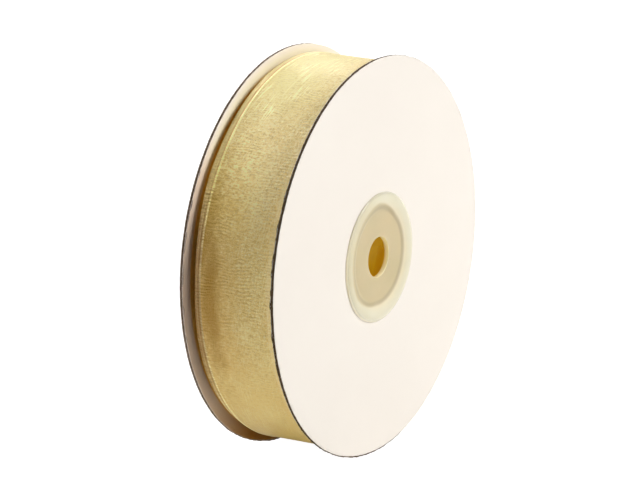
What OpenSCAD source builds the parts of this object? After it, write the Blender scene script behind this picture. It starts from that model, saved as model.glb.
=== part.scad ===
// Ribbon spool: two paper-faced card flanges turn on a snap-together plastic hub,
// and a woven ribbon is wound on the hub's barrel between them.
// The spindle hole's axis is Y, +Z is up, and the origin is the centre of the spool.

/* [Flanges] */
// Diameter of each card flange
flange_d = 112; // [108:1:130]
// Thickness of the grey card core
board_t = 0.8; // [0.6:0.1:1.2]
// Thickness of each white paper facing
paper_t = 0.1; // [0.08:0.01:0.15]
// Gap between the two flanges, inside to inside
inside_w = 27.4; // [27.4:0.1:30]

/* [Ribbon] */
// Width of the ribbon
ribbon_w = 25; // [20:0.5:25]
// Outer diameter of the wound ribbon
pack_d = 108; // [60:1:108]
// Gap between the ribbon's front edge and the front flange
front_gap = 0.25; // [0.2:0.05:0.4]

/* [Hub] */
// Outer diameter of each cap's raised rim
rim_d = 36.4; // [34:0.2:40]
// Height of the rim above the flange
rim_h = 0.9; // [0.6:0.1:1.5]
// Diameter of the flat floor inside the rim
recess_d = 25.2; // [24:0.2:26]
// Depth of that floor below the top of the rim
recess_depth = 0.9; // [0.6:0.1:1]
// Thickness of the floor, where the spindle hole goes through
web_t = 1.5; // [0.8:0.1:1.8]
// Diameter of the spindle hole
hole_d = 11.4; // [6:0.2:14]
// Diameter of the neck that each flange turns on
neck_d = 30.4; // [30:0.1:31]
// Outer diameter of the barrel that carries the ribbon
barrel_d = 32; // [31.6:0.2:32.4]
// Wall of the barrel
barrel_wall = 1.5; // [1.5:0.1:2]

/* [Tapes] */
// Thickness of both adhesive tapes
tape_t = 0.08; // [0.05:0.01:0.1]
// Width of the clear tape over the ribbon's loose end
end_tape_w = 12; // [10:1:18]
// Length of that tape round the ribbon
end_tape_len = 22; // [15:1:30]
// Width of the tape that holds the ribbon's first turn to the barrel
leader_tape_w = 19; // [12:1:22]
// Length of that tape round the barrel
leader_tape_len = 16; // [10:1:24]

/* [Hidden] */

$fn = 180;

// Positions along the axis, measured outward from the middle of the spool
face_in = inside_w / 2;
core_in = face_in + paper_t;
core_out = core_in + board_t;
face_out = core_out + paper_t;

// Clearances: the flange on its neck, across and along the axis, and the caps in the barrel
turn_gap = 0.06;
side_gap = 0.05;
plug_gap = 0.05;

// Radii
flange_r = flange_d / 2;
flange_hole_r = neck_d / 2 + turn_gap;
pack_r = pack_d / 2;
barrel_r = barrel_d / 2;
barrel_bore_r = barrel_r - barrel_wall;
plug_r = barrel_bore_r - plug_gap;
neck_r = neck_d / 2;
rim_r = rim_d / 2;
recess_r = recess_d / 2;
hole_r = hole_d / 2;

// Hub cap, along the axis
barrel_end = face_in - side_gap;
rim_under = face_out + side_gap;
rim_top = face_out + rim_h;
floor_out = rim_top - recess_depth;
floor_in = floor_out - web_t;
plug_len = 7;
plug_end = barrel_end - plug_len;
plug_wall = 1.1;

// Rounded edge of the rim, the gentle dish that falls from its crest to the floor, and the
// bevel of the spindle hole
rim_edge_r = 0.6;
crest_at = 16.2;
dish_r = 6;
dish_turn = 17;
hole_bevel = 0.15;
arc_steps = 6;

// Snap bead on each plug, its groove in the barrel, and the slots that let it spring
bead_h = 0.25;
bead_w = 1.2;
bead_at = plug_end + 1.6;
groove_extra = 0.1;
slot_count = 4;
slot_w = 1.6;

// Where the tapes lie round the spool, in degrees from +X towards +Z
end_tape_angle = -28;
leader_tape_angle = 120;
front_edge = -face_in + front_gap;

// Points of an arc in the (radius, height) plane
function arc(centre, r, from, to) = [
    for (i = [0:arc_steps])
        let (t = from + (to - from) * i / arc_steps)
        [centre[0] + r * cos(t), centre[1] + r * sin(t)]
];

// Turns a shape built along Z so that its height runs along +Y
module along_y() {
    rotate([-90, 0, 0]) children();
}

// Ring round the axis, between two radii and two positions along +Y
module ring(r_in, r_out, from, to) {
    along_y() translate([0, 0, from]) difference() {
        cylinder(r = r_out, h = to - from);
        translate([0, 0, -1]) cylinder(r = r_in, h = to - from + 2);
    }
}

// Patch of tape on a round surface: a slice of a ring, cut by a wedge
module tape(r, angle, width, length, middle) {
    span = length / r * 180 / PI;
    reach = 2 * r;
    intersection() {
        ring(r, r + tape_t, middle - width / 2, middle + width / 2);
        rotate([0, -angle, 0]) rotate([90, 0, 0])
            linear_extrude(height = 4 * width, center = true) polygon([
                [0, 0],
                [reach, -reach * tan(span / 2)],
                [reach, reach * tan(span / 2)]
            ]);
    }
}

// Half section of a cap: floor, rounded rim, neck and plug
function cap_section() = concat(
    [[hole_r + hole_bevel, floor_out], [recess_r, floor_out]],
    arc([crest_at, rim_top - dish_r], dish_r, 90 + dish_turn, 90),
    arc([rim_r - rim_edge_r, rim_top - rim_edge_r], rim_edge_r, 90, 0),
    [[rim_r, rim_under], [neck_r, rim_under], [neck_r, barrel_end]],
    [[plug_r, barrel_end], [plug_r, bead_at + bead_w / 2]],
    [[plug_r + bead_h, bead_at + bead_w / 8], [plug_r + bead_h, bead_at - bead_w / 8]],
    [[plug_r, bead_at - bead_w / 2], [plug_r, plug_end], [plug_r - plug_wall, plug_end]],
    [[plug_r - plug_wall, floor_in], [hole_r + hole_bevel, floor_in]],
    [[hole_r, floor_in + hole_bevel], [hole_r, floor_out - hole_bevel]]
);

// Cap along +Z, with its plug slotted into springy fingers
module hub_cap() {
    slot_len = plug_len * 0.75;
    difference() {
        rotate_extrude() polygon(cap_section());
        for (i = [0:slot_count - 1])
            rotate([0, 0, i * 360 / slot_count])
                translate([plug_r - plug_wall - 1, -slot_w / 2, plug_end - 1])
                    cube([plug_wall + 3, slot_w, slot_len + 1]);
    }
}

module front_board() {
    color([0.30, 0.25, 0.21]) ring(flange_hole_r, flange_r, -core_out, -core_in);
}

module front_outer_paper() {
    color([0.97, 0.94, 0.90]) ring(flange_hole_r, flange_r, -face_out, -core_out);
}

module front_inner_paper() {
    color([0.97, 0.94, 0.90]) ring(flange_hole_r, flange_r, -core_in, -face_in);
}

module rear_board() {
    color([0.30, 0.25, 0.21]) ring(flange_hole_r, flange_r, core_in, core_out);
}

module rear_outer_paper() {
    color([0.97, 0.94, 0.90]) ring(flange_hole_r, flange_r, core_out, face_out);
}

module rear_inner_paper() {
    color([0.97, 0.94, 0.90]) ring(flange_hole_r, flange_r, face_in, core_in);
}

module front_hub_cap() {
    color([0.94, 0.91, 0.80]) mirror([0, 1, 0]) along_y() hub_cap();
}

module rear_hub_cap() {
    color([0.94, 0.91, 0.80]) along_y() hub_cap();
}

module hub_barrel() {
    color([0.92, 0.86, 0.68]) difference() {
        ring(barrel_bore_r, barrel_r, -barrel_end, barrel_end);
        for (side = [-1, 1])
            ring(
                barrel_bore_r - 1, barrel_bore_r + bead_h + groove_extra,
                side * bead_at - bead_w / 2, side * bead_at + bead_w / 2
            );
    }
}

module ribbon() {
    color([0.80, 0.69, 0.42])
        ring(barrel_r + tape_t, pack_r, front_edge, front_edge + ribbon_w);
}

module leader_tape() {
    color([0.85, 0.86, 0.84])
        tape(barrel_r, leader_tape_angle, leader_tape_w, leader_tape_len, front_edge + ribbon_w / 2);
}

module end_tape() {
    color([0.90, 0.92, 0.90])
        tape(pack_r, end_tape_angle, end_tape_w, end_tape_len, front_edge + ribbon_w / 2);
}

front_board();
front_outer_paper();
front_inner_paper();
rear_board();
rear_outer_paper();
rear_inner_paper();
front_hub_cap();
rear_hub_cap();
hub_barrel();
ribbon();
leader_tape();
end_tape();
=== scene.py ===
"""Looks of the ribbon spool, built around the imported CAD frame.

The spool's axis is Y, +Z is up and the spindle hole's centre is the origin. Lengths are in metres.
Card flanges, hub, ribbon and tapes are meshes made here. Their main sizes come from the frame, and
the hub's dish, plugs and beads repeat the CAD's own values.
"""

import math
import random

import bpy
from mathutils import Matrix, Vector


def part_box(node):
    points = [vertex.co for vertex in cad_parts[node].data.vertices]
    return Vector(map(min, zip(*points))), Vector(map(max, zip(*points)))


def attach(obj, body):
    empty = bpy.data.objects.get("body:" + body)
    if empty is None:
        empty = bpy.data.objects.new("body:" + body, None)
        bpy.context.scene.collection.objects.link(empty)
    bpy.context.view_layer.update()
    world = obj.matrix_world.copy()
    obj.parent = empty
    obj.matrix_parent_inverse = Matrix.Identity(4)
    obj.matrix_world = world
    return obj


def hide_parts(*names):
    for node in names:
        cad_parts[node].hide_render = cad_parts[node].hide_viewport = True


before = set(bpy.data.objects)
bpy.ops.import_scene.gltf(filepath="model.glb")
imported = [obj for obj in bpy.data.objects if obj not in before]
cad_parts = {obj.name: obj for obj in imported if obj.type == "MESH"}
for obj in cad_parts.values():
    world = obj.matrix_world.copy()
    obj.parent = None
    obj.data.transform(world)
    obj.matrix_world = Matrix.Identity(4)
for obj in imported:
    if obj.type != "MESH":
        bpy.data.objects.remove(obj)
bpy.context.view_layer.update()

MM = 0.001
TAU = 2 * math.pi


# ---------------------------------------------------------------- sizes read from the frame


def radius_of(node):
    """Outer radius of a CAD node that is round about the spool's axis."""
    low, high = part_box(node)
    return max(abs(low.x), abs(high.x), abs(low.z), abs(high.z))


def span_of(node):
    """Where a CAD node starts and ends along the spool's axis."""
    low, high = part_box(node)
    return low.y, high.y


def smallest_radius(node):
    """Radius of the hole through a round CAD node."""
    return min(math.hypot(v.co.x, v.co.z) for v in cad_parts[node].data.vertices)


FLANGE_R = radius_of("front_board")
FLANGE_HOLE_R = smallest_radius("front_board")
PACK_R = radius_of("ribbon")
PACK_LOW, PACK_HIGH = span_of("ribbon")
RIBBON_W = PACK_HIGH - PACK_LOW
BARREL_R = radius_of("hub_barrel")
BARREL_BORE_R = smallest_radius("hub_barrel")
BARREL_END = span_of("hub_barrel")[1]
RIM_R = radius_of("rear_hub_cap")
RIM_TOP = span_of("rear_hub_cap")[1]
PLUG_END = span_of("rear_hub_cap")[0]
HOLE_R = smallest_radius("rear_hub_cap")
FACE_IN = span_of("rear_inner_paper")[0]
FACE_OUT = span_of("rear_outer_paper")[1]
TAPE_T = radius_of("leader_tape") - BARREL_R


# ---------------------------------------------------------------- mesh helpers


def piece(name, points, faces, material, sharp_deg=35):
    """A smooth-shaded mesh object with the edges over sharp_deg kept sharp."""
    mesh = bpy.data.meshes.new(name)
    mesh.from_pydata(points, [], faces)
    mesh.validate()
    mesh.shade_smooth()
    mesh.set_sharp_from_angle(angle=math.radians(sharp_deg))
    mesh.materials.append(material)
    obj = bpy.data.objects.new(name, mesh)
    bpy.context.scene.collection.objects.link(obj)
    return obj


def on_ring(r, y, angle):
    """Point at a radius, a place along the axis and an angle from +X towards +Z."""
    return (r * math.cos(angle), y, r * math.sin(angle))


def arc(centre_r, centre_y, size, start_deg, end_deg, steps, height=None):
    """Points (radius, y) of an arc in the half section, oval if its height differs from its size."""
    turn = (end_deg - start_deg) / steps
    angles = [math.radians(start_deg + turn * i) for i in range(steps + 1)]
    height = height or size
    return [(centre_r + size * math.cos(a), centre_y + height * math.sin(a)) for a in angles]


def face_out(points, faces):
    """The faces, turned over if they enclose a negative volume."""
    volume = 0.0
    for f in faces:
        a = points[f[0]]
        for i in range(1, len(f) - 1):
            b, c = points[f[i]], points[f[i + 1]]
            volume += a[0] * (b[1] * c[2] - b[2] * c[1])
            volume += a[1] * (b[2] * c[0] - b[0] * c[2])
            volume += a[2] * (b[0] * c[1] - b[1] * c[0])
    return faces if volume > 0 else [tuple(reversed(f)) for f in faces]


def lathe(name, section, steps, material, shape=None, sharp_deg=35):
    """A closed half section turned about the spool's axis. shape may move each (r, y, angle)."""
    count = len(section)
    points, faces = [], []
    for i in range(steps):
        angle = TAU * i / steps
        for r, y in section:
            if shape:
                r, y = shape(r, y, angle)
            points.append(on_ring(r, y, angle))
    for i in range(steps):
        here, there = i * count, (i + 1) % steps * count
        for j in range(count):
            k = (j + 1) % count
            faces.append((here + j, here + k, there + k, there + j))
    return piece(name, points, face_out(points, faces), material, sharp_deg)


def mirrored(section):
    """The same half section on the other side of the spool."""
    return [(r, -y) for r, y in section]


# ---------------------------------------------------------------- material helpers


class Shader:
    """A material being built from nodes, with short ways to add the common ones."""

    def __init__(self, name):
        self.material = bpy.data.materials.new(name)
        self.material.use_nodes = True
        self.tree = self.material.node_tree
        self.surface = self.tree.nodes["Principled BSDF"]

    def node(self, kind, **settings):
        made = self.tree.nodes.new(kind)
        for key, value in settings.items():
            setattr(made, key, value)
        return made

    def put(self, socket, value):
        if isinstance(value, bpy.types.NodeSocket):
            self.tree.links.new(value, socket)
        elif value is not None:
            socket.default_value = value

    def set(self, **values):
        """Sets the surface shader's inputs; an underscore in a key stands for a space."""
        for key, value in values.items():
            self.put(self.surface.inputs[key.replace("_", " ")], value)

    def math(self, operation, a, b=None):
        made = self.node("ShaderNodeMath", operation=operation)
        self.put(made.inputs[0], a)
        self.put(made.inputs[1], b)
        return made.outputs[0]

    def plus(self, a, b):
        return self.math("ADD", a, b)

    def minus(self, a, b):
        return self.math("SUBTRACT", a, b)

    def times(self, a, b):
        return self.math("MULTIPLY", a, b)

    def apart(self, a, b):
        """How far apart two values are."""
        return self.math("ABSOLUTE", self.minus(a, b))

    def place(self):
        """Coordinates in the object's frame."""
        return self.node("ShaderNodeTexCoord").outputs["Object"]

    def split(self, vector):
        made = self.node("ShaderNodeSeparateXYZ")
        self.put(made.inputs[0], vector)
        return made.outputs

    def join(self, x, y, z):
        made = self.node("ShaderNodeCombineXYZ")
        for socket, value in zip(made.inputs, (x, y, z)):
            self.put(socket, value)
        return made.outputs[0]

    def noise(self, vector, scale, detail=3.0, roughness=0.5, distortion=0.0):
        made = self.node("ShaderNodeTexNoise")
        self.put(made.inputs["Vector"], vector)
        made.inputs["Scale"].default_value = scale
        made.inputs["Detail"].default_value = detail
        made.inputs["Roughness"].default_value = roughness
        made.inputs["Distortion"].default_value = distortion
        return made.outputs[0]

    def spread(self, value, low, high, to_low=0.0, to_high=1.0, smooth=False):
        """The value from low to high, carried to to_low to to_high and held there outside."""
        made = self.node("ShaderNodeMapRange")
        made.interpolation_type = "SMOOTHSTEP" if smooth else "LINEAR"
        self.put(made.inputs["Value"], value)
        made.inputs["From Min"].default_value = low
        made.inputs["From Max"].default_value = high
        made.inputs["To Min"].default_value = to_low
        made.inputs["To Max"].default_value = to_high
        return made.outputs[0]

    def mix(self, share, a, b):
        """Colour a, giving way to colour b by share."""
        made = self.node("ShaderNodeMix", data_type="RGBA")
        self.put(made.inputs[0], share)
        for socket, value in zip((made.inputs[6], made.inputs[7]), (a, b)):
            self.put(socket, (*value, 1.0) if isinstance(value, tuple) else value)
        return made.outputs[2]

    def bump(self, height, distance, strength=1.0, under=None):
        made = self.node("ShaderNodeBump")
        made.inputs["Strength"].default_value = strength
        made.inputs["Distance"].default_value = distance
        self.put(made.inputs["Height"], height)
        if under is not None:
            self.put(made.inputs["Normal"], under)
        return made.outputs[0]

    def round_place(self):
        """(angle from +X towards +Z in radians, place along the axis, radius), all about the axis."""
        x, y, z = self.split(self.place())
        squares = self.plus(self.times(x, x), self.times(z, z))
        return self.math("ARCTAN2", z, x), y, self.math("SQRT", squares)

    def ring_vector(self, angle, y, along, across):
        """A vector that closes on itself round the axis: along and across are its rates."""
        return self.join(
            self.times(self.math("COSINE", angle), along),
            self.times(y, across),
            self.times(self.math("SINE", angle), along),
        )

    def facing(self, angle, middle_deg):
        """1 on the side of the axis at an angle, falling to -1 on the opposite side."""
        return self.math("COSINE", self.minus(angle, math.radians(middle_deg)))

    def patch(self, angle, y, middle_deg, middle_y, half_deg, half_y, ragged):
        """1 inside an oval patch on the round side of the spool, fading to 0 outside it."""
        turned = self.minus(angle, math.radians(middle_deg))
        chord = self.math("SINE", self.times(turned, 0.5))
        far_round = self.times(chord, 2 / math.radians(half_deg))
        far_across = self.math("DIVIDE", self.minus(y, middle_y), half_y)
        squares = self.plus(self.times(far_round, far_round), self.times(far_across, far_across))
        far = self.plus(self.math("SQRT", squares), ragged)
        return self.spread(far, 1.25, 0.25, smooth=True)


# ---------------------------------------------------------------- materials


def lining_painted_light(s, angle, radius):
    """The papers' inner faces, painted with light and shade: painted lit cream in the upper part,
    painted grey-brown shade at the sides, painted brown shade underneath, a painted yellow reflection of
    the ribbon next to it on top, and painted gold-brown shade in the gap next to the wound ribbon."""
    height = s.math("SINE", angle)
    # Painted light and shade: the upper part is painted as lit cream, the sides as grey-brown shade.
    upper = s.spread(height, 0.50, 0.75, smooth=True)
    # Painted shade: underneath, the lining is painted dark brown, the shade below the ribbon with its
    # gold thrown into it.
    under = s.spread(height, -0.66, -0.92)
    colour = s.mix(upper, (0.83, 0.665, 0.525), (0.985, 0.905, 0.79))
    colour = s.mix(under, colour, (0.42, 0.19, 0.025))
    # Painted reflection: in the upper part, next to the ribbon, the lining is painted yellow with the
    # ribbon's reflected light.
    painted_ribbon_reflection = s.spread(radius, PACK_R + 1.4 * MM, PACK_R - 0.2 * MM, 0.0, 0.6)
    colour = s.mix(s.times(upper, painted_ribbon_reflection), colour, (1.0, 0.93, 0.62))
    # Painted shade: deeper in the gap next to the ribbon, the lining is painted dark gold-brown, the
    # gap's shade with the ribbon's gold thrown into it.
    painted_gap_shade = s.spread(radius, PACK_R - 1.3 * MM, PACK_R - 2.4 * MM, smooth=True)
    return s.mix(painted_gap_shade, colour, (0.95, 0.55, 0.10))


def paper_material():
    """Smooth cream-white facing paper, a little scuffed at the rim. Its inner faces carry painted light,
    painted shade and painted reflection.
    """
    s = Shader("facing_paper")
    place = s.place()
    angle, y, radius = s.round_place()
    cloud = s.noise(place, 28, 2.0)
    fibre = s.noise(place, 1500, 4.0, 0.6)
    pulp = s.noise(place, 260, 3.0)
    colour = s.mix(s.spread(cloud, 0.3, 0.7), (0.915, 0.855, 0.780), (0.935, 0.877, 0.800))
    colour = s.mix(s.spread(fibre, 0.55, 0.85, 0.0, 0.10), colour, (0.80, 0.74, 0.66))
    at_rim = s.spread(radius, FLANGE_R - 1.2 * MM, FLANGE_R)
    scuff = s.times(at_rim, s.spread(s.noise(place, 420, 3.0), 0.48, 0.66))
    colour = s.mix(s.times(scuff, 0.35), colour, (0.62, 0.55, 0.47))
    # The inner faces take the painted light, shade and reflection of the lining.
    lining = s.spread(s.math("ABSOLUTE", y), FACE_IN + 0.08 * MM, FACE_IN + 0.02 * MM)
    colour = s.mix(lining, colour, lining_painted_light(s, angle, radius))
    s.set(Base_Color=colour, Roughness=s.spread(pulp, 0.3, 0.7, 0.50, 0.62))
    s.set(Specular_IOR_Level=0.35, IOR=1.45)
    fine = s.bump(fibre, 0.012 * MM, 0.5)
    s.set(Normal=s.bump(pulp, 0.03 * MM, 0.5, fine))
    return s.material


def card_material():
    """Dark grey-brown recycled card, seen on the flange's cut edge as pressed layers and fibres."""
    s = Shader("card_core")
    angle, y, _ = s.round_place()
    layers = s.noise(s.ring_vector(angle, y, 1.2, 9000.0), 1.0, 3.0, 0.6)
    flecks = s.noise(s.place(), 2600, 3.0, 0.6)
    wear = s.noise(s.ring_vector(angle, y, 16.0, 0.0), 1.0, 4.0, 0.7)
    colour = s.mix(s.spread(layers, 0.35, 0.68), (0.045, 0.026, 0.012), (0.15, 0.095, 0.05))
    colour = s.mix(s.spread(flecks, 0.60, 0.74), colour, (0.42, 0.33, 0.24))
    # The die has drawn pale paper fibres over the rear card's edge.
    from_middle = s.apart(y, (FACE_IN + FACE_OUT) / 2)
    drawn = s.spread(s.plus(from_middle, s.times(wear, 0.4 * MM)), 0.32 * MM, 0.46 * MM)
    drawn = s.times(drawn, s.spread(y, -1 * MM, 1 * MM, 0.0, 0.8))
    colour = s.mix(drawn, colour, (0.55, 0.44, 0.37))
    s.set(Base_Color=colour, Roughness=0.92, Specular_IOR_Level=0.2)
    s.set(Normal=s.bump(s.plus(layers, flecks), 0.08 * MM, 0.8))
    return s.material


def hub_colour_and_painted_shade(s, angle, radius):
    """Cream rim and dish with painted shade: darker on the upper left, a thin floor painted darker with
    the shade of the recess and of the light that its thin plastic lets through into the hub, and a
    painted shade ring where the dish meets the floor.
    """
    cloud = s.noise(s.place(), 90, 2.0)
    colour = s.mix(s.spread(cloud, 0.35, 0.65), (0.88, 0.785, 0.56), (0.92, 0.815, 0.60))
    # Painted shade: the side away from the light, round 155 degrees on the upper left, is painted
    # darker.
    painted_side_shade = s.spread(s.facing(angle, 155), 0.4, 0.95, 0.0, 0.45, smooth=True)
    colour = s.mix(painted_side_shade, colour, (0.72, 0.62, 0.39))
    # Painted shade: on the upper left the floor's painted shade reaches out over the dish, so the dish
    # is paler on its lower right, where more light falls into it.
    set_back = s.spread(s.facing(angle, -25), -0.5, 0.3, 2.8 * MM, 0.0)
    from_dish = s.minus(radius, set_back)
    # Painted shade: the thin floor is painted darker, the shade of the recess and of the light that its
    # thin plastic lets through into the hub.
    floor = s.spread(from_dish, RECESS_R + 0.9 * MM, RECESS_R - 0.3 * MM, smooth=True)
    painted_shade_floor_colour = s.mix(s.spread(cloud, 0.3, 0.7), (0.63, 0.535, 0.315), (0.67, 0.56, 0.34))
    colour = s.mix(floor, colour, painted_shade_floor_colour)
    # Painted shade: a darker ring is painted where the dish meets the floor.
    corner_at = s.plus(s.times(set_back, 0.45), RECESS_R + 0.4 * MM)
    corner_shade = s.spread(s.apart(radius, corner_at), 0.1 * MM, 1.0 * MM, 0.7, 0.0, smooth=True)
    return s.mix(corner_shade, colour, (0.50, 0.42, 0.25))


def hub_material():
    """Translucent cream moulded plastic with a satin finish. Inside, it is painted with the ribbon's
    gold light, and its rim's lower edge, its hole's wall and its inside have a painted glow for the
    light that the plastic carries."""
    s = Shader("hub_plastic")
    angle, y, radius = s.round_place()
    # Painted light: the inside is painted gold, the ribbon's light showing through the plastic.
    inside = s.spread(s.math("ABSOLUTE", y), FACE_IN, FACE_IN - 0.8 * MM)
    hole_wall = s.spread(radius, HOLE_R + 0.1 * MM, HOLE_R + 0.02 * MM)
    colour = s.mix(hole_wall, hub_colour_and_painted_shade(s, angle, radius), (0.82, 0.73, 0.48))
    s.set(Base_Color=s.mix(inside, colour, (0.80, 0.60, 0.07)))
    # Painted glow: the rim's outer edge on its lower part, the hole's wall and the inside glow faintly,
    # though the plastic is no lamp.
    lower = s.spread(s.math("SINE", angle), 0.8, 0.2)
    lip = s.times(s.spread(radius, RIM_R - 0.5 * MM, RIM_R - 0.1 * MM), lower)
    glow = s.mix(lip, (0.0, 0.0, 0.0), (0.19, 0.17, 0.13))
    glow = s.mix(hole_wall, glow, (0.17, 0.155, 0.09))
    glow = s.mix(inside, glow, (0.068, 0.045, 0.0018))
    s.set(Emission_Color=glow, Emission_Strength=1.0)
    grain = s.noise(s.place(), 3200, 2.0)
    satin = s.spread(grain, 0.3, 0.7, 0.34, 0.44)
    polished = s.spread(radius, RIM_R - 0.8 * MM, RIM_R - 0.4 * MM)
    s.set(Roughness=s.minus(satin, s.times(polished, 0.2)))
    s.set(IOR=1.49, Specular_IOR_Level=0.5)
    s.set(Subsurface_Weight=1.0, Subsurface_Scale=1.0)
    s.set(Subsurface_Radius=(1.8 * MM, 1.8 * MM, 1.8 * MM))
    s.set(Normal=s.bump(grain, 0.01 * MM, 0.4))
    return s.material


def barrel_material():
    """The barrel's translucent plastic, painted gold with the light of the gold ribbon wound on it, and
    given a faint painted glow for the light that comes in through the ribbon."""
    s = Shader("barrel_plastic")
    place = s.place()
    cloud = s.noise(place, 120, 2.0)
    # Painted light: the gold stands for the ribbon's light seen through the plastic.
    colour = s.mix(s.spread(cloud, 0.35, 0.65), (0.84, 0.64, 0.05), (0.88, 0.68, 0.07))
    s.set(Base_Color=colour, Roughness=0.45, IOR=1.49)
    # Painted glow: a faint glow, though the barrel is no lamp.
    s.set(Emission_Color=(0.75, 0.50, 0.02, 1.0), Emission_Strength=0.11)
    s.set(Normal=s.bump(s.noise(place, 900, 2.0), 0.02 * MM, 0.4))
    return s.material


WEFTS_PER_TURN = 1130.0
RIPPLES_PER_TURN = 360.0
WARP_PITCH = 0.27 * MM
SELVEDGE_W = 2.25 * MM
THREAD_W = 0.55 * MM
CORD_AT = 0.95 * MM
DARK_LINE_AT = 1.5 * MM


class Organza(Shader):
    """The ribbon's material being built, with the fields that its parts share. The cloth is crinkled
    most on the upper left: short puckers across its width, fine creases aslant and here and there a
    longer streak with a painted highlight. It also holds the masks of the painted highlight on top and
    of the painted shade on the left side."""

    def __init__(self):
        super().__init__("gold_organza")
        self.angle, self.y, _ = self.round_place()
        self.across = self.minus(self.y, PACK_LOW)
        self.from_edge = self.math("MINIMUM", self.across, self.minus(PACK_HIGH, self.y))
        self.rear = self.spread(self.across, RIBBON_W * 0.4, RIBBON_W * 0.6)
        edge, soft = SELVEDGE_W, 0.05 * MM
        self.in_selvedge = self.spread(self.from_edge, edge - soft, edge + soft, 1.0, 0.0)
        aslant = self.plus(self.y, self.times(self.math("SINE", self.angle), 9 * MM))
        self.pucker = self.field(105.0, 760.0, 2.0, 0.6, 0.6)
        self.crease = self.field(36.0, 2700.0, 3.0, 0.6, 0.2, aslant)
        self.region = self.field(5.0, 130.0, 2.0)
        self.spark = self.field(150.0, 3100.0, 1.0)
        smooth = self.oval(232, 0.0, 38, 60 * MM)
        # Painted highlight: the mask of the ribbon's top, where it is painted brighter as the light
        # falls on it.
        self.top = self.oval(100, 5 * MM, 32, 16 * MM)
        calm = self.math("MAXIMUM", self.times(smooth, 0.75), self.times(self.top, 0.6))
        self.rough = self.minus(1.0, calm)
        # Painted highlight: the lit streaks are painted bright, brightest on the top.
        streak = self.field(8.0, 2500.0, 2.0, 0.5, 0.3, aslant)
        lit = self.times(self.spread(streak, 0.55, 0.65), self.spread(self.region, 0.40, 0.55))
        self.lit = self.times(lit, self.spread(self.top, 0.0, 0.6, 0.25, 1.0))
        wisp = self.field(15.0, 300.0, 3.0, 0.6)
        self.ragged = self.spread(self.plus(wisp, self.pucker), 0.6, 1.4, -0.3, 0.3)
        # Painted shade: the mask of the shade on the left side, round 182 degrees, near the rear edge.
        self.shade = self.oval(182, 10.6 * MM, 42, 4.4 * MM, self.ragged)
        self.threads = self.weave()
        self.ripple = self.ripples()

    def field(self, along, across, detail, roughness=0.5, distortion=0.0, y=None):
        """Noise on the cloth, with a rate along the ribbon and one across it."""
        vector = self.ring_vector(self.angle, self.y if y is None else y, along, across)
        return self.noise(vector, 1.0, detail, roughness, distortion)

    def oval(self, middle_deg, middle_y, half_deg, half_y, ragged=0.0):
        return self.patch(self.angle, self.y, middle_deg, middle_y, half_deg, half_y, ragged)

    def weave(self):
        """Height of the sheer cloth's threads."""
        weft = self.math("SINE", self.times(self.angle, WEFTS_PER_TURN))
        warp = self.math("SINE", self.times(self.across, TAU / WARP_PITCH))
        return self.math("MAXIMUM", weft, warp)

    def ripples(self):
        """Height of the ripples that the turns below beat into the cloth."""
        drift = self.field(5.0, 120.0, 2.0)
        phase = self.plus(self.times(self.angle, RIPPLES_PER_TURN), self.times(drift, 24.0))
        patchy = self.field(7.0, 150.0, 3.0, 0.55)
        return self.times(self.math("SINE", phase), self.spread(patchy, 0.42, 0.62))

    def tinted(self, colour, value, low, high, share, where, tint):
        """The colour, given up to share of a tint as the value goes from low to high."""
        return self.mix(self.times(self.spread(value, low, high, 0.0, share), where), colour, tint)

    def sheer_colour(self):
        """Gold of the plain weave, with its threads and ripples, painted light and shade on its puckers
        and creases, and a painted highlight on top, on the lit streaks and on the sparks.
        """
        cloud = self.field(4.0, 90.0, 2.0)
        colour = self.mix(self.spread(cloud, 0.35, 0.65), (0.97, 0.69, 0.19), (1.0, 0.76, 0.24))
        # Painted highlight: the top is painted brighter.
        colour = self.mix(self.times(self.top, 0.75), colour, (1.0, 0.91, 0.33))
        colour = self.tinted(colour, self.ripple, -1.0, 1.0, 0.5, self.rough, (0.58, 0.36, 0.08))
        colour = self.mix(self.spread(self.threads, 0.2, 1.0, 0.0, 0.22), colour, (1.0, 0.80, 0.34))
        # Painted light and shade: the puckers and creases are painted lighter on their high parts and
        # darker in their low parts, with the strongest painted highlights and shade on the upper left,
        # where the light glints.
        crinkled_ragged = self.spread(self.region, 0.35, 0.65, 0.4, -0.4)
        crinkled = self.oval(136, 2 * MM, 27, 12 * MM, crinkled_ragged)
        for value, low, high, share, where, tint in (
            (self.pucker, 0.47, 0.33, 0.6, self.rough, (0.60, 0.38, 0.07)),
            (self.pucker, 0.52, 0.66, 0.6, self.rough, (1.0, 0.86, 0.38)),
            (self.crease, 0.48, 0.36, 0.3, self.rough, (0.64, 0.42, 0.08)),
            (self.crease, 0.54, 0.66, 0.45, self.rough, (1.0, 0.88, 0.42)),
            (self.pucker, 0.50, 0.61, 0.5, crinkled, (1.0, 0.90, 0.46)),
            (self.pucker, 0.45, 0.35, 0.4, crinkled, (0.62, 0.40, 0.09)),
        ):
            colour = self.tinted(colour, value, low, high, share, where, tint)
        # Painted highlights on the lit streaks, and painted glints on the sparks.
        colour = self.mix(self.times(self.lit, 0.85), colour, (1.0, 0.95, 0.50))
        return self.tinted(colour, self.spark, 0.58, 0.68, 0.7, self.rough, (1.0, 0.90, 0.50))

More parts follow.
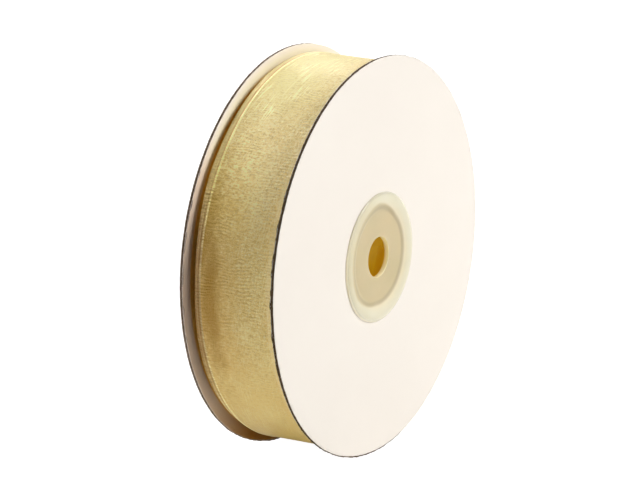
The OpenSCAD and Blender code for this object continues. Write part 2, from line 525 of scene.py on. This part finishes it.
    def with_painted_shade(self, colour):
        """Painted shade on the left side: a broad darker gold patch, and a deep brown-gold painted shade
        within it and next to the rear selvedge.
        """
        shade_around = self.oval(180, 6 * MM, 40, 11 * MM, self.ragged)
        colour = self.mix(self.times(shade_around, 0.5), colour, (0.76, 0.44, 0.07))
        deep_shade = self.oval(183, 6.5 * MM, 27, 3.4 * MM, self.ragged)
        shade_beside = self.oval(163, 9.2 * MM, 20, 4.2 * MM, self.ragged)
        deep_shade = self.math("MAXIMUM", deep_shade, self.times(shade_beside, 0.85))
        return self.mix(deep_shade, colour, (0.54, 0.29, 0.018))

    def with_selvedges(self, colour):
        """The selvedges are satin bands, the rear one with painted shade on the left side, the front one
        painted paler.
        """
        streaks = self.spread(self.field(14.0, 5200.0, 2.0, 0.6), 0.35, 0.65)
        rear_satin = self.mix(streaks, (0.94, 0.68, 0.23), (1.0, 0.82, 0.36))
        # A darker line along the rear satin, between the cord and the filament.
        off_dark_line = self.apart(self.from_edge, DARK_LINE_AT)
        groove = self.spread(off_dark_line, 0.1 * MM, 0.3 * MM, 0.6, 0.0)
        rear_satin = self.mix(groove, rear_satin, (0.66, 0.38, 0.07))
        # Painted shade on the rear satin.
        rear_satin = self.mix(self.shade, rear_satin, (0.33, 0.15, 0.010))
        # Painted light: the front satin is painted paler and greyer than the rear one.
        front_satin = self.mix(streaks, (0.84, 0.68, 0.33), (0.90, 0.75, 0.40))
        satin = self.mix(self.rear, front_satin, rear_satin)
        cover = self.times(self.in_selvedge, self.spread(self.rear, 0.0, 1.0, 0.35, 0.97))
        return self.mix(cover, colour, satin)

    def filament(self):
        """Share of the bright filament woven in along the inner border of the rear selvedge."""
        off_thread = self.apart(self.from_edge, SELVEDGE_W - THREAD_W / 2)
        on_thread = self.spread(off_thread, THREAD_W * 0.35, THREAD_W * 0.65, 1.0, 0.0)
        dash = self.field(190.0, 0.0, 2.0)
        bright = self.times(on_thread, self.spread(dash, 0.38, 0.58, 0.15, 1.0))
        # The painted shade dims the filament.
        bright = self.times(bright, self.spread(self.shade, 0.0, 1.0, 1.0, 0.25))
        return self.times(bright, self.rear)

    def cord(self):
        """Share of the thin cord near the rear selvedge's edge."""
        off_cord = self.apart(self.from_edge, CORD_AT)
        on_cord = self.times(self.spread(off_cord, 0.08 * MM, 0.18 * MM, 0.45, 0.0), self.rear)
        # The painted shade dims the cord.
        return self.times(on_cord, self.spread(self.shade, 0.0, 1.0, 1.0, 0.45))

    def relief(self):
        """Height of the whole cloth: ripples, creases and puckers, streaks, and the weave."""
        grain = self.plus(self.times(self.crease, 1.2), self.times(self.pucker, 1.6))
        height = self.plus(self.times(self.ripple, 0.45), self.plus(grain, self.spark))
        height = self.plus(self.times(height, self.rough), self.times(self.lit, 0.4))
        body = self.times(self.threads, self.minus(1.0, self.in_selvedge))
        return self.plus(height, self.times(body, 0.25))


def organza_material():
    """Gold sheer ribbon: a fine plain weave over the turns below, between two satin selvedges."""
    s = Organza()
    bright = s.filament()
    colour = s.with_selvedges(s.with_painted_shade(s.sheer_colour()))
    colour = s.mix(bright, colour, (1.0, 0.92, 0.46))
    colour = s.mix(s.cord(), colour, (1.0, 0.84, 0.36))
    s.set(Base_Color=colour, Metallic=0.15)
    # Painted glow: the filament and the lit streaks have painted glints, and the crinkled cloth on the
    # upper left has a faint painted glow for the light that it scatters from turn to turn.
    glint = s.plus(s.times(bright, 0.28), s.times(s.lit, 0.16))
    glow_patch = s.oval(148, 4 * MM, 20, 13 * MM)
    painted_glow = s.times(glow_patch, s.spread(s.pucker, 0.40, 0.60, 0.03, 0.09))
    s.set(Emission_Color=s.mix(glow_patch, (1.0, 0.86, 0.36), (1.0, 0.82, 0.14)))
    s.set(Emission_Strength=s.plus(glint, painted_glow))
    s.set(Roughness=s.spread(s.spark, 0.4, 0.8, 0.40, 0.26))
    s.set(Specular_IOR_Level=0.9, Sheen_Weight=0.12, Sheen_Roughness=0.35)
    s.set(Sheen_Tint=(1.0, 0.88, 0.52, 1.0))
    s.set(Normal=s.bump(s.relief(), 0.17 * MM, 0.9))
    return s.material


def tape_material():
    """Clear adhesive film, faintly hazy."""
    s = Shader("clear_tape")
    haze = s.noise(s.place(), 500, 3.0)
    s.set(Base_Color=(1.0, 0.94, 0.76, 1.0), Alpha=0.07)
    s.set(Roughness=s.spread(haze, 0.3, 0.7, 0.1, 0.2), IOR=1.47)
    s.set(Coat_Weight=1.0, Coat_Roughness=0.06)
    s.set(Normal=s.bump(haze, 0.02 * MM, 0.4))
    return s.material


# ---------------------------------------------------------------- card flanges

CARD_STEPS = 720
EDGE_ROWS = 6
CARD_EDGE_W = 0.8 * MM
PAPER_ROLL = 0.20 * MM
# Where the spool stands, the paper's rim is worn back; on the left, the card's edge is knocked.
STAND_ANGLE = math.radians(-98)
STAND_HALF = math.radians(20)
STAND_WEAR = 0.40 * MM
KNOCK_ANGLE = math.radians(172)
KNOCK_HALF = math.radians(26)
KNOCK_DEPTH = 0.35 * MM


def burr(angle, seed):
    """Unevenness of the die-cut edge at an angle, from -1 to 1."""
    slow = math.sin(23 * angle + seed) * math.sin(9 * angle + 2 * seed)
    quick = math.sin(61 * angle + 3 * seed) * math.sin(17 * angle + seed)
    return (slow + quick + 0.5 * math.sin(137 * angle)) / 2.5


def knock(angle, seed):
    """How far the card is burst at the knocked stretch of its edge, from 0 to 1."""
    away = math.remainder(angle - KNOCK_ANGLE, TAU) / KNOCK_HALF
    lumps = math.sin(37 * angle + seed) + 0.7 * math.sin(83 * angle + 2 * seed)
    return max(0.0, 0.35 + 0.65 * lumps / 1.7) * math.exp(-(away**4))


def card_core(name, node, side, material):
    """The card disc between its papers, with a rough cut edge. side is -1 in front, 1 behind."""
    low, high = span_of(node)
    rim = [(FLANGE_R, low + (high - low) * i / EDGE_ROWS) for i in range(EDGE_ROWS + 1)]
    bore = [(FLANGE_HOLE_R, high), (FLANGE_HOLE_R, low)]
    shallow = FLANGE_R - CARD_EDGE_W
    section = [(shallow, low), *rim, (shallow, high), *bore]
    rough = random.Random(11 + side)

    def cut(r, y, angle):
        if r < FLANGE_R:
            return r, y
        inner = abs(y - (high if side < 0 else low)) / (high - low)
        y -= side * KNOCK_DEPTH * knock(angle, side) * (1 - inner)
        return r + (0.12 * burr(angle, side) - 0.10 + rough.uniform(-0.06, 0.05)) * MM, y

    obj = lathe(name, section, CARD_STEPS, material, cut)
    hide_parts(node)
    return obj


def facing_paper(name, node, outward, material):
    """One paper facing, its rim pressed over the card. outward is the way it faces along the axis."""
    low, high = span_of(node)
    face, back = (high, low) if outward > 0 else (low, high)
    roll = PAPER_ROLL
    section = [
        (FLANGE_HOLE_R, back),
        (FLANGE_HOLE_R, face - outward * 0.03 * MM),
        (FLANGE_HOLE_R + 0.03 * MM, face),
        (FLANGE_R - 9 * MM, face),
        (FLANGE_R - 3 * MM, face),
        (FLANGE_R - roll, face),
        (FLANGE_R - roll * 0.4, face - outward * 0.012 * MM),
        (FLANGE_R - roll * 0.1, face - outward * 0.04 * MM),
        (FLANGE_R, back - outward * 0.01 * MM),
        (FLANGE_R - 0.03 * MM, back),
    ]
    rough = random.Random(31 + round(outward) + round(1e5 * low))

    def fray(r, y, angle):
        """The paper's edge is uneven, and worn back a little where the spool stands on it."""
        if r < FLANGE_R - roll:
            return r, y
        low_down = math.remainder(angle - STAND_ANGLE, TAU) / STAND_HALF
        worn = STAND_WEAR * math.exp(-(low_down**2))
        uneven = (0.07 * burr(angle, outward + 4) - 0.07 + rough.uniform(-0.03, 0.01)) * MM
        return r + uneven - worn, y

    obj = lathe(name, section, CARD_STEPS, material, fray)
    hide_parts(node)
    return obj


def make_flange(end, side, card, paper):
    """Card core and both papers of one flange, riding on its own body."""
    made = [
        card_core(f"{end}_card", f"{end}_board", side, card),
        facing_paper(f"{end}_face_paper", f"{end}_outer_paper", side, paper),
        facing_paper(f"{end}_lining_paper", f"{end}_inner_paper", -side, paper),
    ]
    for obj, slot in zip(made, ("card_core", "white_paper", "white_paper")):
        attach(obj, f"{end}_flange")


# ---------------------------------------------------------------- hub

HUB_STEPS = 192
# The dish and the floor inside the rim
RECESS_R = 12.6 * MM
RECESS_DEPTH = 0.9 * MM
CREST_AT = 16.2 * MM
DISH_R = 6 * MM
DISH_TURN = 17
WEB_T = 1.5 * MM
# Clearances, the plug's springy fingers, and the bead that snaps into the barrel's groove
TURN_GAP = 0.06 * MM
SIDE_GAP = 0.05 * MM
PLUG_GAP = 0.05 * MM
PLUG_WALL = 1.1 * MM
FINGER_L = 5.25 * MM
BEAD_AT = PLUG_END + 1.6 * MM
BEAD_HALF_W = 0.6 * MM
BEAD_H = 0.25 * MM
GROOVE_EXTRA = 0.1 * MM
SLOTS = 4
HALF_SLOT_STEPS = 3


def cap_section():
    """Half section of the rear cap, and which of its points belong to the springy fingers."""
    floor_out = RIM_TOP - RECESS_DEPTH
    floor_in = floor_out - WEB_T
    under = FACE_OUT + SIDE_GAP
    neck_r = FLANGE_HOLE_R - TURN_GAP
    plug_r = BARREL_BORE_R - PLUG_GAP
    finger = PLUG_END + FINGER_L
    foot = 2 * MM
    edge_w = 1.9 * MM
    edge_h = 0.7 * MM
    lip = 0.15 * MM
    section = [
        *arc(HOLE_R + lip, floor_in + lip, lip, 270, 180, 3),
        *arc(HOLE_R + lip, floor_out - lip, lip, 180, 90, 4),
        (RECESS_R - 5 * MM, floor_out),
        *arc(RECESS_R - 0.3 * MM, floor_out + foot, foot, 270, 270 + DISH_TURN, 4),
        *arc(CREST_AT, RIM_TOP - DISH_R, DISH_R, 90 + DISH_TURN, 90, 8),
        *arc(RIM_R - edge_w, RIM_TOP - edge_h, edge_w, 90, 0, 10, edge_h),
        (RIM_R, under + 0.05 * MM),
        (RIM_R - 0.05 * MM, under),
        (neck_r, under),
        (neck_r, BARREL_END),
        (plug_r, BARREL_END),
    ]
    first = len(section)
    section += [
        (plug_r, finger),
        (plug_r, BEAD_AT + BEAD_HALF_W),
        (plug_r + BEAD_H, BEAD_AT + BEAD_HALF_W / 4),
        (plug_r + BEAD_H, BEAD_AT - BEAD_HALF_W / 4),
        (plug_r, BEAD_AT - BEAD_HALF_W),
        (plug_r - 0.2 * MM, PLUG_END),
        (plug_r - PLUG_WALL, PLUG_END),
        (plug_r - PLUG_WALL, finger),
    ]
    last = len(section) - 1
    section.append((plug_r - PLUG_WALL, floor_in))
    return section, first, last


def hub_cap(name, node, side, material):
    """A flanged cap whose plug is slotted into fingers."""
    section, first, last = cap_section()
    if side < 0:
        section = mirrored(section)
    count = len(section)
    points, faces = [], []
    for i in range(HUB_STEPS):
        points += [on_ring(r, y, TAU * i / HUB_STEPS) for r, y in section]
    per_slot = HUB_STEPS // SLOTS

    def in_slot(i):
        place = (i + per_slot // 2) % per_slot
        return abs(place + 0.5 - per_slot // 2) < HALF_SLOT_STEPS

    for i in range(HUB_STEPS):
        here, there = i * count, (i + 1) % HUB_STEPS * count
        for j in range(count):
            k = (j + 1) % count
            if in_slot(i) and first <= j < last:
                continue
            faces.append((here + j, here + k, there + k, there + j))
        if in_slot(i):
            faces.append((here + first, here + last, there + last, there + first))
        before = in_slot(i - 1)
        if in_slot(i) and not before:
            faces.append(tuple(here + j for j in range(first, last + 1)))
        if before and not in_slot(i):
            faces.append(tuple(here + j for j in range(last, first - 1, -1)))
    obj = piece(name, points, face_out(points, faces), material, 28)
    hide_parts(node)
    return obj


def hub_barrel(material):
    """The tube between the flanges, with a groove near each end for the caps' beads."""
    deep = BARREL_BORE_R + BEAD_H + GROOVE_EXTRA
    groove_from, groove_to = BEAD_AT - BEAD_HALF_W, BEAD_AT + BEAD_HALF_W
    bevel = 0.2 * MM
    half = [
        (BARREL_BORE_R, groove_from),
        (deep, groove_from),
        (deep, groove_to),
        (BARREL_BORE_R, groove_to),
        (BARREL_BORE_R, BARREL_END - bevel),
        (BARREL_BORE_R + bevel, BARREL_END),
        (BARREL_R - bevel, BARREL_END),
        (BARREL_R, BARREL_END - bevel),
    ]
    obj = lathe("core_barrel", half + mirrored(half)[::-1], HUB_STEPS, material, sharp_deg=28)
    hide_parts("hub_barrel")
    return obj


def make_hub():
    """Both caps and the barrel, all on the hub body."""
    plastic, gold = hub_material(), barrel_material()
    made = [
        (hub_cap("front_cap", "front_hub_cap", -1, plastic), "hub_plastic"),
        (hub_cap("rear_cap", "rear_hub_cap", 1, plastic), "hub_plastic"),
        (hub_barrel(gold), "barrel_plastic"),
    ]
    for obj, slot in made:
        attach(obj, "hub")


# ---------------------------------------------------------------- ribbon

RIBBON_LENGTH = 45.72
CLOTH_T = 0.15 * MM
WEFT_LOOP_OUT = 0.09 * MM
WEFT_LOOP_IN = 0.05 * MM
EDGE_WANDER = 0.05 * MM
FACE_RIPPLE = 0.02 * MM
MIDDLE_SAG = 0.09 * MM
SPLIT_R = 44 * MM
TOP_TURNS = 1.15
END_DEG = -28
PACK_CORE_R = BARREL_R + TAPE_T
PITCH = math.pi * (PACK_R**2 - PACK_CORE_R**2) / RIBBON_LENGTH
# Where the rear edge of the outer turns stands out or is drawn in: middle and half width in
# degrees, and how far it stands out in millimetres. It fades over this many turns.
EDGE_DRIFTS = [(147, 10, 0.25), (177, 16, -0.45), (240, 18, -1.8)]
DRIFT_TURNS = 25


def turn_at(radius):
    """How many turns from the loose end a radius lies."""
    return (PACK_R - radius) / PITCH


# Height of the cloth over its winding radius, by distance from its nearer edge, in millimetres:
# a rounded edge, a thin cord, a flat satin band, the bright filament and then the sheer body.
SELVEDGE_SECTION = [
    (0.0, -0.05), (0.08, -0.01), (0.25, 0.01), (0.80, 0.01), (0.88, 0.04), (0.97, 0.055),
    (1.06, 0.04), (1.14, 0.01), (1.50, 0.0), (1.78, 0.0), (1.88, 0.045), (2.03, 0.065),
    (2.18, 0.045), (2.28, -0.01), (2.7, -0.03), (3.8, -0.045), (5.4, -0.06), (8.0, -0.075),
    (10.4, -0.085),
]


def cloth_section(fine):
    """(place across the ribbon from 0 to 1, height) from one edge to the other. Only the rear
    selvedge has the cord and the filament standing up from it."""
    if not fine:
        return [(0.0, 0.0), (1.0, 0.0)]
    half = [(e * MM / RIBBON_W, h * MM) for e, h in SELVEDGE_SECTION]
    flat = [(e, min(h, 0.0)) for e, h in half]
    return flat + [(0.5, -MIDDLE_SAG)] + [(1 - e, h) for e, h in reversed(half)]


def edge_drift(angle):
    """How far the rear edge of the outermost turn stands out at an angle."""
    drift = 0.0
    for middle_deg, half_deg, height in EDGE_DRIFTS:
        away = math.remainder(angle - math.radians(middle_deg), TAU) / math.radians(half_deg)
        drift += height * MM * math.exp(-(away**2))
    return drift


def wander(turn, seed):
    """Small smooth drift of the ribbon's edge as it winds."""
    return (
        math.sin(turn * 2.1 + seed) + 0.6 * math.sin(turn * 5.3 + 2 * seed) + 0.4 * math.sin(turn * 11.9)
    ) / 2


def wound_ribbon(name, turn_from, turn_to, steps_per_turn, fine, material):
    """The stretch of ribbon between two counts of turns from the loose end, as a closed thin sheet."""
    steps = round((turn_to - turn_from) * steps_per_turn)
    section = cloth_section(fine)
    count = len(section)
    points, faces = [], []
    length = 0.0
    for i in range(steps + 1):
        turn = turn_from + (turn_to - turn_from) * i / steps
        angle = math.radians(END_DEG) + TAU * turn
        winding_r = PACK_R - CLOTH_T - PITCH * turn
        shift = EDGE_WANDER * wander(turn, 0.7)
        drift = edge_drift(angle) * math.exp(-turn / DRIFT_TURNS)
        ripple = FACE_RIPPLE * wander(turn * 4.7, 2.0) if fine else 0.0
        loop = WEFT_LOOP_OUT if i % 2 else -WEFT_LOOP_IN
        length += TAU * winding_r * (turn_to - turn_from) / steps if i else 0.0
        for top in (1, 0):
            for across, height in section:
                r = winding_r + height + ripple * math.sin(math.pi * across) + CLOTH_T * top
                y = PACK_LOW + (RIBBON_W + drift) * across + shift
                if fine and across == 1.0:
                    y += loop
                points.append(on_ring(r, y, angle))
    for i in range(steps):
        here, there = i * 2 * count, (i + 1) * 2 * count
        for j in range(count - 1):
            faces.append((here + j, here + j + 1, there + j + 1, there + j))
            k = count + j
            faces.append((here + k + 1, here + k, there + k, there + k + 1))
        faces.append((here, there, there + count, here + count))
        edge = count - 1
        faces.append((here + edge, here + count + edge, there + count + edge, there + edge))
    end = steps * 2 * count
    faces.append((*range(count), *range(2 * count - 1, count - 1, -1)))
    faces.append((*range(end + count, end + 2 * count), *range(end + count - 1, end - 1, -1)))
    obj = piece(name, points, face_out(points, faces), material, 50)
    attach(obj, "hub")
    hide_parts("ribbon")
    return obj, length


def make_ribbon():
    """The whole ribbon, in three lengths that follow each other: last turn, outer and inner turns."""
    organza = organza_material()
    split, innermost = turn_at(SPLIT_R), turn_at(PACK_CORE_R + CLOTH_T)
    stretches = [
        ("ribbon_last_turn", 0.0, TOP_TURNS, 720, True, ["ribbon_outer_turns"]),
        ("ribbon_outer_turns", TOP_TURNS, split, 96, False, ["ribbon_inner_turns"]),
        ("ribbon_inner_turns", split, innermost, 64, False, ["core_barrel"]),
    ]
    for name, start, end, steps, fine, under in stretches:
        obj, length = wound_ribbon(name, start, end, steps, fine, organza)


# ---------------------------------------------------------------- tapes


TAPE_ROWS, TAPE_COLUMNS, TAPE_TEETH = 60, 24, 12
TOOTH_DEPTH = 0.35 * MM
TAPE_LIFT = 0.01 * MM
END_TAPE_L = 22 * MM
LEADER_TAPE_L = 16 * MM
LEADER_TAPE_DEG = 120


def tape_patch(name, node, base_r, middle_deg, length, material):
    """Clear tape stuck round the spool, with the toothed ends that a dispenser's cutter leaves."""
    low, high = span_of(node)
    middle_y, width = (low + high) / 2, high - low
    rows, columns = TAPE_ROWS, TAPE_COLUMNS
    points, faces = [], []
    for top in (1, 0):
        for i in range(rows + 1):
            for j in range(columns + 1):
                along = (i / rows - 0.5) * length
                across = (j / columns - 0.5) * width
                tooth = TOOTH_DEPTH * abs((j * TAPE_TEETH / columns) % 1 - 0.5) * 2
                if i == 0:
                    along += tooth
                if i == rows:
                    along -= tooth
                angle = math.radians(middle_deg) + along / base_r
                r = base_r + (TAPE_T if top else TAPE_LIFT)
                points.append(on_ring(r, middle_y + across, angle))
    layer = (rows + 1) * (columns + 1)
    wide = columns + 1
    for i in range(rows):
        for j in range(columns):
            a = i * wide + j
            faces.append((a, a + 1, a + wide + 1, a + wide))
            b = a + layer
            faces.append((b, b + wide, b + wide + 1, b + 1))
    for i in range(rows):
        a, b = i * wide, (i + 1) * wide
        faces.append((a, b, b + layer, a + layer))
        a, b = a + columns, b + columns
        faces.append((a, a + layer, b + layer, b))
    for j in range(columns):
        faces.append((j, j + layer, j + 1 + layer, j + 1))
        a = rows * wide + j
        faces.append((a, a + 1, a + 1 + layer, a + layer))
    obj = piece(name, points, face_out(points, faces), material)
    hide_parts(node)
    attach(obj, "hub")


def make_tapes():
    """One tape holds the ribbon's loose end, the other its first turn to the barrel."""
    film = tape_material()
    tape_patch("end_tape_film", "end_tape", PACK_R, END_DEG, END_TAPE_L, film)
    leader = ("leader_tape_film", "leader_tape", BARREL_R, LEADER_TAPE_DEG, LEADER_TAPE_L)
    tape_patch(*leader, film)


# ---------------------------------------------------------------- camera, floor and light

VIEW_AZIMUTH, VIEW_ELEVATION = math.radians(-59.4), math.radians(15.4)
VIEW_DISTANCE = 1.13
VIEW_LENS = 229.3
AIM_RIGHT, AIM_UP = -3.5 * MM, 2.7 * MM


def make_camera():
    """The camera looks past the spool's centre by AIM_RIGHT and AIM_UP in its own plane."""
    a, e = VIEW_AZIMUTH, VIEW_ELEVATION
    back = (math.sin(a) * math.cos(e), -math.cos(a) * math.cos(e), math.sin(e))
    right = (math.cos(a), math.sin(a), 0.0)
    up = (-math.sin(a) * math.sin(e), math.cos(a) * math.sin(e), math.cos(e))
    data = bpy.data.cameras.new("camera")
    data.lens, data.sensor_width = VIEW_LENS, 36
    data.clip_start, data.clip_end = 0.05, 50
    cam = bpy.data.objects.new("camera", data)
    cam.location = [
        VIEW_DISTANCE * back[i] + AIM_RIGHT * right[i] + AIM_UP * up[i] for i in range(3)
    ]
    cam.rotation_euler = (math.pi / 2 - e, 0.0, a)
    bpy.context.scene.collection.objects.link(cam)
    bpy.context.scene.camera = cam


LAMP_SIZE = 1.0
LAMP_DISTANCE = 2.5
LAMPS = [  # name, azimuth from the front, elevation, power
    ("key", 24, 38, 47.0),
    ("fill", 0, 20, 11.0),
    ("edge", 120, 20, 12.0),
    ("back_right", 155, 38, 28.0),
    ("back", 180, 38, 15.0),
    ("low_left", -130, 5, 24.0),
]


def area_light(name, azimuth_deg, elevation_deg, power):
    """A square soft light that faces the spool from a direction."""
    data = bpy.data.lights.new(name, "AREA")
    data.size, data.energy = LAMP_SIZE, power
    lamp = bpy.data.objects.new(name, data)
    a, e = math.radians(azimuth_deg), math.radians(elevation_deg)
    direction = (math.sin(a) * math.cos(e), -math.cos(a) * math.cos(e), math.sin(e))
    lamp.location = [d * LAMP_DISTANCE for d in direction]
    lamp.rotation_euler = (-lamp.location).to_track_quat("-Z", "Y").to_euler()
    bpy.context.scene.collection.objects.link(lamp)


STAGE_HALF = 8.0


def flat_board(name, z, material):
    """A large level sheet of the studio."""
    h = STAGE_HALF
    corners = [(-h, -h, z), (h, -h, z), (h, h, z), (-h, h, z)]
    board = piece(name, corners, [(0, 1, 2, 3)], material)
    return board


def make_stage():
    """A white lit table under the spool. Its glow is for the camera alone; the board just
    below it gives the spool the bounce light of a plain white floor."""
    glow = Shader("table_glow")
    cloud = glow.noise(glow.place(), 3, 2.0)
    white = glow.mix(cloud, (0.28, 0.28, 0.28), (0.30, 0.30, 0.30))
    glow.set(Base_Color=white, Roughness=0.9, Specular_IOR_Level=0.0)
    glow.set(Emission_Color=(1.0, 1.0, 1.0, 1.0), Emission_Strength=0.985)
    table = flat_board("floor", -FLANGE_R, glow.material)
    table.visible_diffuse = False
    table.visible_glossy = False
    table.visible_transmission = False
    table.visible_shadow = False
    plain = Shader("white_board")
    _, _, away = plain.round_place()
    near = plain.spread(away, 0.30, 0.08, smooth=True)
    pale = plain.mix(near, (0.62, 0.61, 0.60), (0.86, 0.85, 0.83))
    plain.set(Base_Color=pale, Roughness=0.9, Specular_IOR_Level=0.0)
    board = flat_board("bounce_board", -FLANGE_R - 0.5 * MM, plain.material)
    board.visible_camera = False


def make_light():
    """Soft studio lamps, in a white surround that only the camera sees."""
    world = bpy.data.worlds.new("world")
    world.use_nodes = True
    world.node_tree.nodes["Background"].inputs["Color"].default_value = (1, 1, 1, 1)
    world.cycles_visibility.diffuse = False
    world.cycles_visibility.glossy = False
    world.cycles_visibility.transmission = False
    bpy.context.scene.world = world
    for lamp in LAMPS:
        area_light(*lamp)


def make_view():
    """Plain display colours, without a film look."""
    settings = bpy.context.scene.view_settings
    settings.view_transform = "Standard"
    settings.look = "None"


# ---------------------------------------------------------------- build

make_camera()
make_view()
make_stage()
make_light()

card, paper = card_material(), paper_material()
make_flange("front", -1, card, paper)
make_flange("rear", 1, card, paper)
make_hub()
make_ribbon()
make_tapes()
